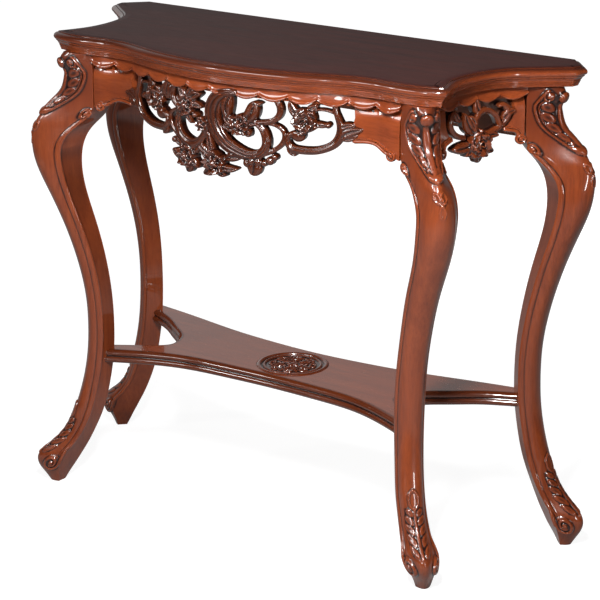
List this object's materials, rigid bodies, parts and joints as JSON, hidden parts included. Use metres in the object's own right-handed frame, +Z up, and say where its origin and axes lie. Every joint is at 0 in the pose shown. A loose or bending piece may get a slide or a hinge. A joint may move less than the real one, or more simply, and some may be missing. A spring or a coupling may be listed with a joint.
{
  "type": "pier table",
  "caption": "Carved pier table with a serpentine moulded top, pierced scroll and rose aprons, cabriole legs with scroll feet and a shaped lower shelf.",
  "frame": {"origin": "on the floor under the middle of the outline", "axes": "+Z up, +Y to the wall behind the table, +X to its right as seen from the front"},
  "size_m": [1.0951, 0.3975, 0.85],
  "materials": {
    "top_veneer": "dark lacquer, semi-gloss",
    "carved_wood": "red-brown lacquer, gloss",
    "inner_wood": "stained, matt",
    "steel": "zinc plated"
  },
  "bodies": {
    "root": {"top_panel": "top_veneer", "top_edge_front": "carved_wood", "top_edge_left": "carved_wood", "top_edge_right": "carved_wood", "top_frame_front": "carved_wood", "top_frame_left": "carved_wood", "top_frame_right": "carved_wood", "lappet_front": "carved_wood", "lappet_left": "carved_wood", "lappet_right": "carved_wood", "apron_front": "carved_wood", "apron_left": "carved_wood", "apron_right": "carved_wood", "front_carving": "carved_wood", "side_carving_left": "carved_wood", "side_carving_right": "carved_wood", "leg_front_left": "carved_wood", "leg_front_right": "carved_wood", "leg_back_left": "carved_wood", "leg_back_right": "carved_wood", "shelf_panel": "carved_wood", "shelf_edge_front": "carved_wood", "shelf_edge_left": "carved_wood", "shelf_edge_right": "carved_wood", "shelf_medallion": "carved_wood", "top_frame_back": "inner_wood", "apron_back": "inner_wood", "corner_block_front_left": "inner_wood", "corner_block_front_right": "inner_wood", "corner_block_back_left": "inner_wood", "corner_block_back_right": "inner_wood", "apron_dowels": "inner_wood", "shelf_dowels": "inner_wood", "corner_block_screws": "steel", "top_screws": "steel"}
  },
  "joints": []
}
